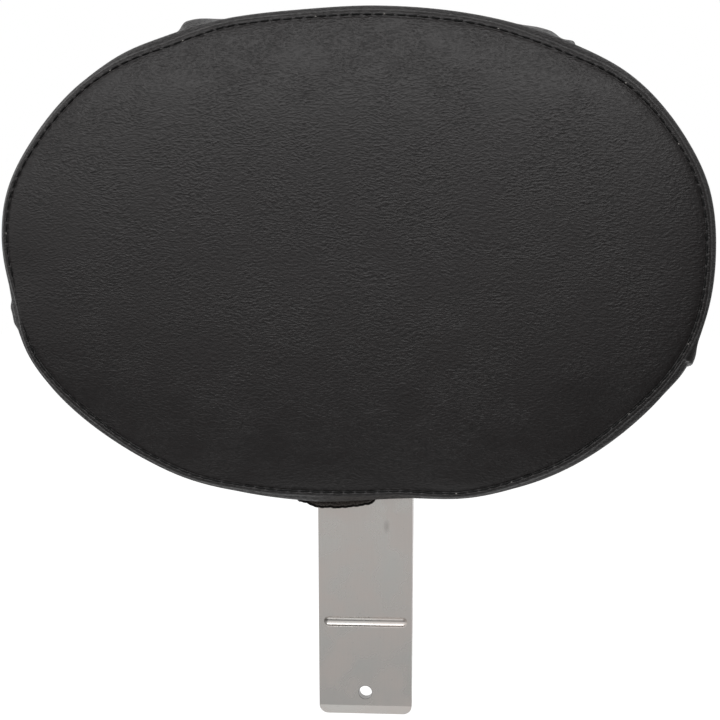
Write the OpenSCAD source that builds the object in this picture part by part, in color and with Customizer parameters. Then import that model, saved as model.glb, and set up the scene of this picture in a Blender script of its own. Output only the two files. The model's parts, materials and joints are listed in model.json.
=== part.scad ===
// Motorcycle driver backrest: an oval upholstered pad on a flat steel blade.
// The origin is the middle of the blade's bottom end. Z runs up the blade and the pad's front faces -Y.
// The blade stands upright in its bracket, so X is the pad's width and Y is its depth.

/* [Blade] */
// Width of the flat bar where it enters the pad
blade_w = 45.6; // [36:0.1:60]
// Width of the bar at its tip, which is drawn in a little so that it starts easily in its bracket
blade_tip_w = 44.5; // [34:0.1:58]
// Thickness of the flat bar
blade_t = 6.35; // [4:0.05:10]
// Length of the whole bar, most of it inside the pad
blade_l = 236; // [190:1:290]
// Radius of the two corners at the tip
tip_corner_r = 4.3; // [1:0.1:10]
// Height of the bevels at the tip
tip_bevel_h = 4.6; // [1:0.1:9]
// Thickness of steel left at the tip between the bevels
tip_edge_t = 2.2; // [1:0.1:4]

/* [Retaining hole and detent groove] */
// Diameter of the retaining hole
hole_d = 6.35; // [4:0.05:10]
// Height of the hole's centre above the tip
hole_z = 11; // [9:0.5:20]
// Length of the groove that the bracket's detent drops into
groove_l = 39.9; // [20:0.1:42]
// Height of the groove's mouth on the blade's face
groove_h = 4.8; // [3:0.1:8]
// Depth of the groove
groove_depth = 1.3; // [0.5:0.1:2]
// Height of the groove's middle above the tip
groove_z = 45.5; // [30:0.5:70]

/* [Pad outline] */
// Half of the pad's width at its widest line
pad_half_w = 164; // [130:1:200]
// Height from the widest line up to the pad's top
pad_rise = 110; // [90:1:140]
// Height from the widest line down to the pad's bottom
pad_drop = 118; // [100:1:140]
// Squareness of the oval, where 2 is a true ellipse
squareness = 2.22; // [2:0.02:2.8]
// Height of the pad's widest line above the tip
pad_z = 225.5; // [210:0.5:260]
// How far the pad's middle sits to the side of the blade's middle
pad_x = -3; // [-6:0.5:6]

/* [Pad section] */
// Distance of the seam in front of the blade's middle plane
seam_depth = 46; // [38:0.5:60]
// How far the padded front swells past the seam
crown = 16; // [6:0.5:26]
// How far the seam's stitches lie inside the widest outline
seam_inset = 6.2; // [4.6:0.1:12]
// Width of the folded lip outside the stitches
lip_w = 2.2; // [1.5:0.1:3]
// Depth of the valley that the stitches pull in, under the lip's crest
valley_depth = 0.8; // [0.3:0.1:1.5]
// How far in front of the blade's middle plane the band is widest
bulge_y = 22; // [12:0.5:30]
// How far the band draws in from its widest line to its front and rear edges
band_draw = 4; // [2:0.1:6]
// Thickness of the vinyl
vinyl_t = 1.2; // [0.8:0.1:2]
// Radius of the band's fold round the board's rear edge
fold_r = 3; // [1.5:0.1:5]
// Width of the hem that the band leaves on the back of the board
hem_w = 20; // [16:0.5:22]

/* [Pleats and flap] */
// Height of the tallest pleat above the band
pleat_h = 4.6; // [0.5:0.1:6]
// Width of the raw flap that hangs in front of the blade
flap_w = 36; // [20:1:40]
// How far the flap hangs under the pad
flap_drop = 4.8; // [2:0.1:9]

/* [Base board] */
// Thickness of the plywood board
board_t = 15; // [12:0.5:20]
// Play on each side of the blade in its channel
channel_play = 0.2; // [0.1:0.05:0.5]
// Distance of the blade's screws from its sides
screw_edge = 11.8; // [9.5:0.1:14]
// Height of the lower pair of screws above the tip
screw_z = 146; // [135:1:165]
// Distance between the lower and the upper pair of screws
screw_pitch_z = 70; // [30:1:72]

/* [Screws and tee nuts] */
// Diameter of the blade screws
screw_d = 6.35; // [5:0.05:8]
// Diameter of their countersunk heads
screw_head_d = 12.2; // [10:0.1:13]
// Across flats of the heads' hexagon sockets
socket_af = 4; // [3:0.1:4.5]
// Diameter of the tee nuts' flanges
nut_flange_d = 19; // [16:0.5:22]
// Thickness of the tee nuts' flanges
nut_flange_t = 1.5; // [1:0.1:2]
// Diameter of the tee nuts' barrels
nut_barrel_d = 8.2; // [8.1:0.1:9]
// Length of the tee nuts' prongs
prong_l = 5; // [3:0.5:6]
// Width of the prongs
prong_w = 3.2; // [2:0.1:4]
// Thickness of the prongs
prong_t = 1; // [0.6:0.1:1.4]

/* [Staples] */
// Number of staple places round the board
staple_places = 36; // [24:1:48]
// Width of a staple over its legs
staple_w = 10; // [8:0.5:12]
// Length of a staple's legs
staple_leg = 7; // [5:0.5:9]
// Width of the staple wire
wire_w = 1; // [0.8:0.1:1.4]
// Thickness of the staple wire
wire_t = 0.6; // [0.4:0.1:0.8]
// How far the staples lie inside the widest outline
staple_inset = 17; // [14:0.5:20]

/* [Rear panel] */
// Thickness of the panel's board
panel_t = 3; // [2:0.1:5]
// How far the panel's edge lies inside the widest outline
panel_inset = 10; // [8:0.5:16]
// Width of the cover's hem on the front of the panel
panel_hem_w = 18; // [12:0.5:20]
// How far the trim clips lie inside the widest outline
clip_inset = 42; // [39:0.5:48]
// Diameter of the clips' stems
clip_d = 7.6; // [6:0.1:9]
// Length of the clips' stems in the board
clip_l = 11; // [8:0.5:11.5]
// Diameter of the clips' flanges
clip_flange_d = 15; // [12:0.5:18]
// Number of fins on a stem
clip_fins = 5; // [3:1:6]

/* [Fits] */
// Ease between the cover and what it is pulled over
ease = 0.2; // [0.1:0.05:0.4]
// Play round a screw, clip or staple leg in its hole
hole_play = 0.1; // [0.05:0.05:0.2]

/* [Hidden] */

// Planes across the pad's depth, from the front to the back
seam_y = -seam_depth;
blade_front = -blade_t / 2;
blade_back = blade_t / 2;
board_back = blade_back;
board_front = board_back - board_t;
hem_front = board_back + ease;
hem_back = hem_front + vinyl_t;
panel_hem_front = hem_back + wire_t + ease;
panel_front = panel_hem_front + vinyl_t + ease;
panel_back = panel_front + panel_t;
back_y = panel_back + ease + vinyl_t;

// Insets from the widest outline
crease_inset = seam_inset - lip_w;
board_inset = band_draw + vinyl_t + ease;
hem_inset = board_inset + hem_w;

// Sizes that follow from the fits
end_gap = 0.5;
nut_len = blade_front - board_front - end_gap;
screw_len = blade_t + nut_len - end_gap;
screw_half_pitch = blade_w / 2 - screw_edge;
head_h = (screw_head_d - screw_d) / 2;
prong_r = nut_flange_d / 2 - 1.6 * prong_t;
bulge_plane = -bulge_y;
band_front = seam_y + 1;
band_rear = hem_back - fold_r;
pad_bottom = pad_z - pad_drop;

// Curve of the front: how blunt its crown is, and how tight its roll is towards the seam
crown_blunt = 2.3;
crown_roll = 0.66;
// Curve of the band between its widest line and its edges
band_curve = 2.2;

// Steps round the outline, where the pleated band takes twice as many as the rest, and steps across it
steps_round = 72;
steps_across = 8;
HALF_ROUND = round(steps_round);
ROUND = 2 * HALF_ROUND;
CROWN_STEPS = round(steps_across);
BAND_STEPS = CROWN_STEPS - 1;

// Places where the hand-cut outline is fuller or flatter: angle, reach on either side in degrees, and height
UNEVEN = [
  [308, 24, 2.2], [279, 18, -1.6], [216, 18, -1], [187, 9, -1.4], [160, 14, -1.2],
  [140, 9, 0.8], [104, 20, -0.8], [33, 10, 0.8], [18, 10, -0.7]
];

// Pleats of the band: place, reach before it and after it in degrees, and height as a share of the tallest
PLEATS = [
  [126.8, 8.5, 4, 1],
  [48, 5, 8, 0.55],
  [-19, 5, 6, 0.8],
  [191.8, 3, 4, 0.35]
];

// Places of the trim clips round the board, in degrees
CLIPS = [15, 65, 115, 165, 228, 312];

// The lower edge of the raw flap: place along its width and drop, both as shares
FLAP_EDGE = [[0, 0.1], [0.12, 0.55], [0.27, 0.95], [0.5, 1], [0.75, 0.85], [0.97, 0.4], [1, 0]];
flap_left = -31.5;
flap_y = -9;
flap_root = board_inset - ease;

// The steel and vinyl shades
STEEL = "#9c9792";
ZINC = "#b9bcbf";
VINYL = "#2f2e2d";
FOAM = "#d8cfae";
PLY = "#b98f5c";
HARDBOARD = "#6d5136";
NYLON = "#26262a";

// One smooth bump that is 1 at its place and 0 past its reach on either side
function bump(t, place, before, after) =
  let (off = t - place, turn = off - 360 * round(off / 360), u = turn < 0 ? -turn / before : turn / after)
  u < 1 ? (1 + cos(180 * u)) / 2 : 0;

// Height of the pleats at angle t
function pleats(t) = pleat_h * max([for (p = PLEATS) p[3] * bump(t, p[0], p[1], p[2])]);

// How much fuller the outline is than a true oval at angle t
function unevenness(t) = [for (p = UNEVEN) p[2] * bump(t, p[0], p[1], p[1])] * [for (p = UNEVEN) 1];

// Distance from the pad's middle to the outline drawn in by d, at angle t
function reach(t, d) =
  let (a = pad_half_w - d, b = (sin(t) > 0 ? pad_rise : pad_drop) - d)
  pow(pow(abs(cos(t)) / a, squareness) + pow(abs(sin(t)) / b, squareness), -1 / squareness) + unevenness(t);

// Point [x, z] on the outline drawn in by d
function outline(t, d) = [pad_x + reach(t, d) * cos(t), pad_z + reach(t, d) * sin(t)];

// Direction of the outline at angle t
function heading(t, d) = let (v = outline(t + 1, d) - outline(t - 1, d)) atan2(v[1], v[0]);

// Point of a ring: the outline drawn in by d, scaled by s about the pad's middle, at depth y, raised by lift
function ring_point(t, s, d, y, lift = 0) =
  let (r = s * reach(t, d) + lift) [pad_x + r * cos(t), y, pad_z + r * sin(t)];

// Swell of the front at fraction s of the way to the seam
function swell(s) = crown * pow(max(0, 1 - pow(s, crown_blunt)), crown_roll);

// How far the band's outer face is drawn in at depth y
function band_inset(y) =
  let (u = y < bulge_plane ? (bulge_plane - y) / (bulge_plane - band_front)
                           : (y - bulge_plane) / (band_rear - bulge_plane))
  band_draw * pow(u, band_curve);

// Share of a pleat's height at depth y: none at the seam, all of it past the widest line
function pleat_share(y) = y < band_front ? 0 : min(1, 1.5 * (y - band_front) / (bulge_plane - band_front));

function crown_at(i) = sin(90 * i / CROWN_STEPS);
function band_at(i) = band_front + (band_rear - band_front) * i / BAND_STEPS;

// Skin through rings of n points. The ends are joined to each other, or else closed at a point in the middle.
module skin(rings, n, joined = false) {
  m = len(rings);
  points = [for (r = rings) each r];
  mid = function (r) [pad_x, r[0][1], pad_z];
  pole = joined ? [] : [mid(rings[0]), mid(rings[m - 1])];
  sides = [
    for (j = [0 : m - (joined ? 1 : 2)], i = [0 : n - 1])
      let (k = (i + 1) % n, a = j * n, b = (j + 1) % m * n)
      each [[a + i, b + k, b + i], [a + i, a + k, b + k]]
  ];
  ends = joined ? [] : [
    for (i = [0 : n - 1])
      let (k = (i + 1) % n, last = (m - 1) * n)
      each [[n * m, k, i], [n * m + 1, last + i, last + k]]
  ];
  polyhedron(concat(points, pole), concat(sides, ends));
}

// Rings of one profile, each entry [scale, inset, depth], round n places
function rings(profile, n) =
  [for (p = profile) [for (i = [0 : n - 1]) ring_point(360 * i / n, p[0], p[1], p[2])]];

// A flat oval with its edge drawn in by d, from depth y0 to y1
module oval_slab(d, y0, y1) {
  translate([0, y1, 0]) rotate([90, 0, 0]) linear_extrude(y1 - y0)
    polygon([for (i = [0 : HALF_ROUND - 1]) outline(360 * i / HALF_ROUND, d)]);
}

// A round bar along Y from depth y0 to y1 at [x, z]
module bar_y(d, y0, y1, at, d2 = 0, fn = 48) {
  translate([at[0], y1, at[1]]) rotate([90, 0, 0])
    cylinder(h = y1 - y0, d1 = d2 > 0 ? d2 : d, d2 = d, $fn = fn);
}

// Centre [x, z] of blade screw k
function screw_at(k) = [(k % 2 == 1 ? -1 : 1) * screw_half_pitch, screw_z + (k > 2 ? screw_pitch_z : 0)];

module blade_outline() {
  polygon([
    [-blade_tip_w / 2, tip_corner_r], [blade_tip_w / 2, tip_corner_r],
    [blade_w / 2, pad_bottom], [blade_w / 2, blade_l], [-blade_w / 2, blade_l], [-blade_w / 2, pad_bottom]
  ]);
  translate([tip_corner_r - blade_tip_w / 2, 0])
    square([blade_tip_w - 2 * tip_corner_r, tip_corner_r + 1]);
  for (side = [-1, 1])
    translate([side * (blade_tip_w / 2 - tip_corner_r), tip_corner_r]) circle(tip_corner_r, $fn = 48);
}

// The wedges that bevel the tip on both faces
module tip_bevels() {
  cut = (blade_t - tip_edge_t) / 2;
  for (side = [0, 1]) mirror([0, side, 0])
    translate([-blade_w, 0, 0]) rotate([90, 0, 90]) linear_extrude(2 * blade_w)
      polygon([
        [blade_back, tip_bevel_h], [blade_back + 1, tip_bevel_h], [blade_back + 1, -1],
        [blade_back - cut * (1 + 1 / tip_bevel_h), -1]
      ]);
}

// The groove is a bar with ball ends, sunk into the front face
module detent_groove() {
  r = (groove_h * groove_h / 4 + groove_depth * groove_depth) / (2 * groove_depth);
  run = groove_l - groove_h;
  translate([0, blade_front + groove_depth - r, groove_z]) {
    rotate([0, 90, 0]) cylinder(h = run, r = r, center = true, $fn = 96);
    for (side = [-1, 1]) translate([side * run / 2, 0, 0]) sphere(r, $fn = 96);
  }
}

module blade() {
  color(STEEL) difference() {
    translate([0, blade_back, 0]) rotate([90, 0, 0]) linear_extrude(blade_t) blade_outline();
    tip_bevels();
    detent_groove();
    bar_y(hole_d, blade_front - 1, blade_back + 1, [0, hole_z]);
    for (k = [1 : 4]) {
      bar_y(screw_d + 2 * hole_play, blade_front - 1, blade_back + 1, screw_at(k));
      bar_y(screw_d, blade_back - head_h - hole_play, blade_back, screw_at(k), screw_head_d + 2 * hole_play);
      bar_y(screw_head_d + 2 * hole_play, blade_back - 0.01, blade_back + 1, screw_at(k));
    }
  }
}

module blade_screw(k) {
  at = screw_at(k);
  color(ZINC) difference() {
    union() {
      bar_y(screw_d, blade_back - screw_len, blade_back - head_h / 2, at);
      bar_y(screw_d, blade_back - head_h, blade_back, at, screw_head_d);
    }
    bar_y(socket_af / cos(30), blade_back - head_h * 0.8, blade_back + 1, at, 0, 6);
  }
}

// The three prongs of a tee nut, or the slots that they press into
module prongs(at, play = 0) {
  for (turn = [90 : 120 : 330])
    translate([at[0], board_front + nut_flange_t, at[1]]) rotate([0, turn, 0])
      translate([prong_r - play, -0.3, -prong_w / 2 - play])
        cube([prong_t + 2 * play, prong_l + 0.3 + play, prong_w + 2 * play]);
}

module tee_nut(k) {
  at = screw_at(k);
  color(ZINC) difference() {
    union() {
      bar_y(nut_flange_d, board_front, board_front + nut_flange_t, at);
      bar_y(nut_barrel_d, board_front, board_front + nut_len, at);
      prongs(at);
    }
    bar_y(screw_d + 2 * hole_play, board_front - 1, board_front + nut_len + 1, at);
  }
}

// Angles at which the band is stapled: all round, apart from where the blade leaves the board
function staple_angles() = [
  for (i = [0 : staple_places - 1])
    let (t = 360 * (i + 0.5) / staple_places, p = outline(t, staple_inset))
    if (p[1] > pad_z || abs(p[0]) > blade_w / 2 + staple_w) t
];

// One staple's wire at angle t, with play for the slot that it makes in what it holds
module staple(t, play = 0) {
  p = outline(t, staple_inset);
  leg = staple_leg + play;
  translate([p[0], hem_back, p[1]]) rotate([0, -heading(t, staple_inset), 0]) {
    if (play == 0) translate([-staple_w / 2, 0, -wire_w / 2]) cube([staple_w, wire_t, wire_w]);
    for (side = [-1, 1])
      translate([side * (staple_w - wire_t) / 2 - wire_t / 2 - play, -leg, -wire_w / 2 - play])
        cube([wire_t + 2 * play, leg + play, wire_w + 2 * play]);
  }
}

module staples() {
  color(ZINC) for (t = staple_angles()) staple(t);
}

// The holes that the trim clips press into, from depth y0 to y1
module clip_holes(y0, y1) {
  for (t = CLIPS) bar_y(clip_d + 2 * hole_play, y0, y1, outline(t, clip_inset));
}

module base_board() {
  half_channel = blade_w / 2 + channel_play;
  color(PLY) difference() {
    oval_slab(board_inset, board_front, board_back);
    translate([-half_channel, blade_front, 0])
      cube([2 * half_channel, blade_t + 1, blade_l + channel_play]);
    for (k = [1 : 4]) {
      bar_y(nut_flange_d + 2 * hole_play, board_front - 1, board_front + nut_flange_t, screw_at(k));
      bar_y(nut_barrel_d + 2 * hole_play, board_front - 1, blade_back, screw_at(k));
      prongs(screw_at(k), hole_play);
    }
    clip_holes(board_back - clip_l - 1, board_back + 1);
    for (t = staple_angles()) staple(t, hole_play);
  }
}

module foam_pad() {
  under = vinyl_t + 2 * ease;
  front = [
    for (i = [1 : CROWN_STEPS])
      let (s = crown_at(i)) [s, seam_inset + under, seam_y - swell(s) + under]
  ];
  side_y = [for (i = [0 : 4]) let (y0 = seam_y + 2 * under) y0 + (board_front - y0) * i / 4];
  side = [for (y = side_y) [1, band_inset(max(y, band_front)) + under, y]];
  color(FOAM) skin(rings(concat(front, side), HALF_ROUND), HALF_ROUND);
}

module front_cover() {
  inner = seam_inset + vinyl_t / 2;
  around = round(HALF_ROUND * 4 / 3);
  outer = [for (i = [1 : CROWN_STEPS]) let (s = crown_at(i)) [s, seam_inset, seam_y - swell(s)]];
  lip = [
    [1, seam_inset - lip_w * 0.45, seam_y - valley_depth],
    [1, crease_inset + 0.2, seam_y + 0.5],
    [1, crease_inset + 0.9, seam_y + vinyl_t]
  ];
  lining = [
    for (i = [CROWN_STEPS : -1 : 1])
      let (s = crown_at(i)) [s, inner, seam_y - swell(s) + vinyl_t]
  ];
  color(VINYL) skin(rings(concat(outer, lip, lining), around), around);
}

// The band's outer face: up from the seam, over the pleats, round the fold and in along the hem
function band_outer(t) =
  let (
    high = pleats(t),
    side = [
      for (i = [0 : BAND_STEPS])
        let (y = band_at(i)) ring_point(t, 1, band_inset(y), y, high * pleat_share(y))
    ],
    fold = [
      for (turn = [45, 90])
        let (d = band_draw + fold_r * (1 - cos(turn)), y = band_rear + fold_r * sin(turn))
        ring_point(t, 1, d, y, high * (1 - turn / 90))
    ]
  ) concat(side, fold, [ring_point(t, 1, hem_inset, hem_back)]);

// The band's inner face, back from the hem's edge to the seam
function band_inner(t) = concat(
  [ring_point(t, 1, hem_inset, hem_front), ring_point(t, 1, band_draw + vinyl_t, hem_front)],
  [for (i = [5 : -1 : 0]) let (y = band_front + (board_back - 3 - band_front) * i / 5)
    ring_point(t, 1, band_inset(y) + vinyl_t, y + (i == 0 ? 0.3 : 0))]
);

// The raw flap that is left where the band is slit for the blade
module raw_flap() {
  top = pad_bottom + flap_root;
  translate([0, flap_y, 0]) rotate([90, 0, 0]) linear_extrude(vinyl_t)
    polygon(concat(
      [for (p = FLAP_EDGE) [flap_left + flap_w * p[0], pad_bottom - flap_drop * p[1]]],
      [[flap_left + flap_w * 0.9, top], [flap_left + flap_w * 0.1, top]]
    ));
}

module side_band() {
  loops = [for (i = [0 : ROUND - 1]) let (t = 360 * i / ROUND) concat(band_outer(t), band_inner(t))];
  half_slot = blade_w / 2 + channel_play;
  color(VINYL) difference() {
    union() {
      skin([for (j = [0 : len(loops[0]) - 1]) [for (loop = loops) loop[j]]], ROUND, joined = true);
      raw_flap();
    }
    translate([-half_slot, blade_front - ease, pad_bottom - pleat_h - 1])
      cube([2 * half_slot, blade_t + fold_r + ease, pad_drop]);
    for (t = staple_angles()) staple(t, hole_play);
  }
}

module rear_panel_board() {
  color(HARDBOARD) difference() {
    oval_slab(panel_inset, panel_front, panel_back);
    clip_holes(panel_front - 1, panel_back + 1);
  }
}

module rear_panel_cover() {
  edge = panel_inset - ease;
  wrap = edge - vinyl_t;
  profile = [
    [0.5, wrap + vinyl_t, back_y], [1, wrap + vinyl_t, back_y],
    [1, wrap + vinyl_t * 0.3, back_y - vinyl_t * 0.3],
    [1, wrap, back_y - vinyl_t], [1, wrap, panel_hem_front + vinyl_t],
    [1, wrap + vinyl_t, panel_hem_front], [1, panel_inset + panel_hem_w, panel_hem_front],
    [1, panel_inset + panel_hem_w, panel_hem_front + vinyl_t], [1, edge, panel_hem_front + vinyl_t],
    [1, edge, back_y - vinyl_t], [0.5, edge, back_y - vinyl_t]
  ];
  backwards = [for (r = rings(profile, HALF_ROUND)) [for (i = [HALF_ROUND - 1 : -1 : 0]) r[i]]];
  color(VINYL) skin(backwards, HALF_ROUND);
}

// Trim clip: a finned stem in the board, a flange in the gap, and a spigot in the panel
module trim_clip(k) {
  at = outline(CLIPS[k - 1], clip_inset);
  gap = panel_front - board_back;
  spigot = gap + panel_t * 0.9;
  fins = round(clip_fins);
  pitch = clip_l / fins;
  core = clip_d * 0.35;
  stem = [
    for (i = [fins : -1 : 1]) let (top = (1 - i) * pitch)
      each [[core, top - pitch * 0.65], [clip_d / 2, top - pitch * 0.2], [core, top - pitch * 0.1]]
  ];
  head = [
    [core, 0], [clip_flange_d / 2, 0], [clip_flange_d / 2, gap * 0.4],
    [clip_d / 2, gap], [clip_d / 2, spigot], [0, spigot]
  ];
  color(NYLON) translate([at[0], board_back, at[1]]) rotate([-90, 0, 0]) rotate_extrude($fn = 48)
    polygon(concat([[0, -clip_l], [core * 0.6, -clip_l]], stem, head));
}

blade();
base_board();
foam_pad();
front_cover();
side_band();
staples();
tee_nut(1);  // tee_nut_1
tee_nut(2);  // tee_nut_2
tee_nut(3);  // tee_nut_3
tee_nut(4);  // tee_nut_4
blade_screw(1);  // blade_screw_1
blade_screw(2);  // blade_screw_2
blade_screw(3);  // blade_screw_3
blade_screw(4);  // blade_screw_4
rear_panel_board();
rear_panel_cover();
trim_clip(1);  // trim_clip_1
trim_clip(2);  // trim_clip_2
trim_clip(3);  // trim_clip_3
trim_clip(4);  // trim_clip_4
trim_clip(5);  // trim_clip_5
trim_clip(6);  // trim_clip_6
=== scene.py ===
"""Dresses the driver backrest: its sewn and padded cover, the seam's thread, the steel blade and the back."""

import json
import math

import bpy
import numpy as np
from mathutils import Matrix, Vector


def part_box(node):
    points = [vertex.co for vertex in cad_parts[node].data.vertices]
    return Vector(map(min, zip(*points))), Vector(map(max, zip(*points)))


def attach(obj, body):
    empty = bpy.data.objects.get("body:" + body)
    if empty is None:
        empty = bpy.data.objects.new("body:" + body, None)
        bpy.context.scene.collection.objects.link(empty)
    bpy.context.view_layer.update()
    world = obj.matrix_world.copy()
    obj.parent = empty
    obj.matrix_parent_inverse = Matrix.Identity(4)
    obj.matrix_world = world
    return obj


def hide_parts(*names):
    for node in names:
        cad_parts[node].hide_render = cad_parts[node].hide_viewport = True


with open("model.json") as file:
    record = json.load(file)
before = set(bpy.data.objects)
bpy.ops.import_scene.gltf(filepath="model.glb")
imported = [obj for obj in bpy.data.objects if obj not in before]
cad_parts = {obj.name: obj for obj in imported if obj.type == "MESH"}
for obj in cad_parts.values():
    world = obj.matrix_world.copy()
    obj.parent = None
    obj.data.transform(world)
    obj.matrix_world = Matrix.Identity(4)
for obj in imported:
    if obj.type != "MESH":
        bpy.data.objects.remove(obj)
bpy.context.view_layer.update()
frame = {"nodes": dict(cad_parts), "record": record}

bl_info = {
    "name": "Driver Backrest",
    "version": (1, 0, 0),
    "blender": (4, 5, 0),
    "location": "View3D > Sidebar > Backrest",
    "description": "Upholsters a driver backrest pad and finishes its steel blade",
    "category": "Add Mesh",
}

PANEL_LOW, PANEL_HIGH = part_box("rear_panel_board")
BLADE_LOW, BLADE_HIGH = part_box("blade")

MM = 0.001
BODY = "root"
WELD = 0.02 * MM

# Places where the hand-cut outline is fuller or flatter: angle and reach on either side in degrees, and
# height in millimetres
UNEVEN = (
    (308, 24, 2.2), (279, 18, -1.6), (216, 18, -1.0), (187, 9, -1.4),
    (160, 14, -1.2), (140, 9, 0.8), (104, 20, -0.8), (33, 10, 0.8), (18, 10, -0.7),
)

# Places where the seam strays from an even distance to the outline, in the same form
WANDER = (
    (134, 16, -1.6), (44, 16, -1.0), (346, 12, 0.7), (211, 14, -1.2),
    (294, 16, 1.7), (328, 14, -1.1), (262, 14, -0.9), (172, 12, 0.8),
    (236, 12, 1.0), (190.5, 9, -1.5),
)

# Where the front panel hangs over the seam and hides it: angle, reach on either side and overhang
OVERHANG = ((190.5, 9, 2.4),)

# Folds of the band: angle, reach before and after it in degrees, height, and the depths where a fold starts
# and stands at its full height, in millimetres
FOLDS = (
    (126.8, 9.5, 4.0, 5.2, -36, -19),
    (48.3, 4.5, 7.5, 2.5, -36, -19),
    (43.5, 1.5, 2.4, 2.4, -30, -17),
    (-17.4, 1.8, 6.0, 0.4, -44, -29),
    (-19.5, 6.5, 5.0, 2.2, -44, -29),
    (190.0, 1.5, 2.2, 1.1, -42, -35),
    (192.3, 2.0, 1.6, 1.0, -42, -35),
    (226.0, 5.0, 4.0, 2.4, -30, -12),
    (312.0, 4.0, 5.0, 2.0, -30, -12),
)

# How deep the band dips where a fold starts, as a share of the fold's height, and over which length
DIP = 0.16
DIP_LENGTH = 2.2 * MM

# The fold that laps over the band below it: angle, half width and shift in degrees
LAP = (-18.3, 1.1, 0.6)

# Its slant in degrees for a metre of depth, the depths where it starts and is full, and its step
LAP_SLANT = 54
LAP_START, LAP_FULL = -45 * MM, -40 * MM
LAP_STEP = 1.7 * MM

# Depth of the valley that the stitches pull in, along the pad's top and along its bottom. Its lowest line
# lies inside the stitches
VALLEY = (0.15 * MM, 0.8 * MM)
VALLEY_INSET = 0.3 * MM
VALLEY_WIDTH = 0.6 * MM

# How far the front panel's edge lies inside the stitches, and how much wider than deep it rolls down there
PANEL_GAP = 0.4 * MM
ROLL_EXTRA = 0.3 * MM

# Powers of the front's crown: flatness of its middle, and steepness towards the seam
CROWN_FLAT, CROWN_STEEP = 2.3, 0.66

# Shares of that crown: the front panel's before it is blown up, and the foam's
UNBLOWN = 0.82
FOAM_CROWN = 0.8

# Gap between the blade and the vinyl round it, and between the foam and its cover
BLADE_GAP = 0.2 * MM
FOAM_GAP = 0.6 * MM

# Shares across each strip where its next stretch starts
PANEL_ROLL = 0.85
BAND_SIDE, BAND_FOLD, BAND_HEM = 0.12, 0.8, 0.9
FOAM_SIDE, FOAM_BACK = 0.5, 0.85
REAR_ROLL, REAR_EDGE, REAR_HEM = 0.55, 0.7, 0.85

# Section of the seam's lip: outwards from the stitches, and behind the seam, in millimetres
LIP = (
    (-0.9, 0.6), (-0.5, 0.07), (-0.1, 0.05), (0.4, 0.05), (0.85, 0.1),
    (1.2, 0.25), (1.5, 0.5), (1.68, 0.95), (1.6, 2.0),
)

# Section of the band's front edge behind the lip: drawn in from the outline, and depth, in millimetres
BAND_EDGE = ((5.4, -44.9), (5.0, -45.3), (4.6, -45.4), (4.2, -45.15), (3.9, -44.5))

# Ridges that the seam's hem makes in the band, and grooves where the height is negative: depth, width and
# height in millimetres
RIDGES = ((-42.2, 0.9, -0.55), (-39.8, 1.1, 0.45), (-37.0, 1.1, -0.45), (-34.6, 1.2, 0.3))

# The raw lower edge of the flap: place along its width and drop, both as shares
FLAP_EDGE = (
    (0, 0.0), (0.03, 0.3), (0.14, 0.55), (0.27, 0.93), (0.5, 1.0), (0.75, 0.85), (0.97, 0.45), (1, 0.2),
)

# Small gathers of the band: count round the pad, height in millimetres and phase
GATHERS = ((37, 0.22, 0.4), (61, 0.16, 2.1), (97, 0.10, 4.0))

# Waver of the lip's outer edge, in the same form
WAVERS = ((23, 0.1, 1.3), (41, 0.08, 0))

# Where the thread lies: share of the valley's depth, and how far it stands up from there. A stitch is longer
# by its stretch, as a share for a metre of the valley's depth
THREAD_SUNK = 0.6
THREAD_PROUD = 0.1 * MM
THREAD_STRETCH = 0.45 / MM

# Lint: share of the needle holes that hold a fleck, how far it stands up past the thread, and its shades
LINT_SHARE = 0.14
LINT_PROUD = 0.1 * MM
LINT_SHADES = ((0.12, 0.11, 0.10), (0.45, 0.43, 0.40))

# Place of the dull handling mark on the blade's face
MARK_X, MARK_Z = 10.1 * MM, 92 * MM

# Where the room's light changes, as shares of the way along an axis: height, then depth, then width
WALLS_RISE = (-0.68, 0.17)
CEILING_FADE = (0.5, 0.9)
FLOOR_FADE = (-0.95, -0.58)
BACKDROP_RISE = (0.35, 0.9)
RIGHT_FADE = (0.25, 0.8)

# What is left of the light straight overhead, and far to the right
CEILING_REST, RIGHT_REST = 0.3, 0.35


def amount(name, default, description, **options):
    """A number property."""
    return bpy.props.FloatProperty(name=name, default=default, description=description, **options)


def length(name, default, description):
    """A length property in metres."""
    return amount(name, default, description, unit="LENGTH", precision=4)


def colour(name, default, description):
    """A colour property."""
    return bpy.props.FloatVectorProperty(
        name=name, default=default, description=description, subtype="COLOR", size=3, min=0, max=1
    )


class PadSizes(bpy.types.PropertyGroup):
    """The oval pad: its outline, its section and its cover."""

    panel_inset: length("Panel inset", 10 * MM, "How far the rear panel lies inside the widest outline")
    widest_z: length("Widest line", 225.5 * MM, "Height of the pad's widest line above the blade's tip")
    drop: length("Drop", 118 * MM, "From the widest line down to the pad's bottom")
    squareness: amount("Squareness", 2.22, "Squareness of the oval, where 2 is an ellipse")
    seam_y: length("Seam", -46 * MM, "Depth of the seam")
    seam_inset: length("Seam inset", 5.95 * MM, "How far the stitches lie inside the widest outline")
    pucker: length("Pucker", 0.05 * MM, "How deep a stitch pulls the lip in")
    swell: length("Swell", 16 * MM, "How far the front swells past the seam")
    bulge_y: length("Bulge", -22 * MM, "Depth at which the band is widest")
    band_draw: length("Band draw", 4 * MM, "How far the band draws in towards its edges")
    fold_radius: length("Rear fold", 3 * MM, "Radius of the band's fold round the board")
    hem_inset: length("Hem", 25.4 * MM, "How far the hem's edge lies inside the widest outline")
    vinyl: length("Vinyl", 1.2 * MM, "Thickness of the vinyl")
    pressure: amount("Pressure", 4.0, "Pressure of the foam against the cover")


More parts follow.
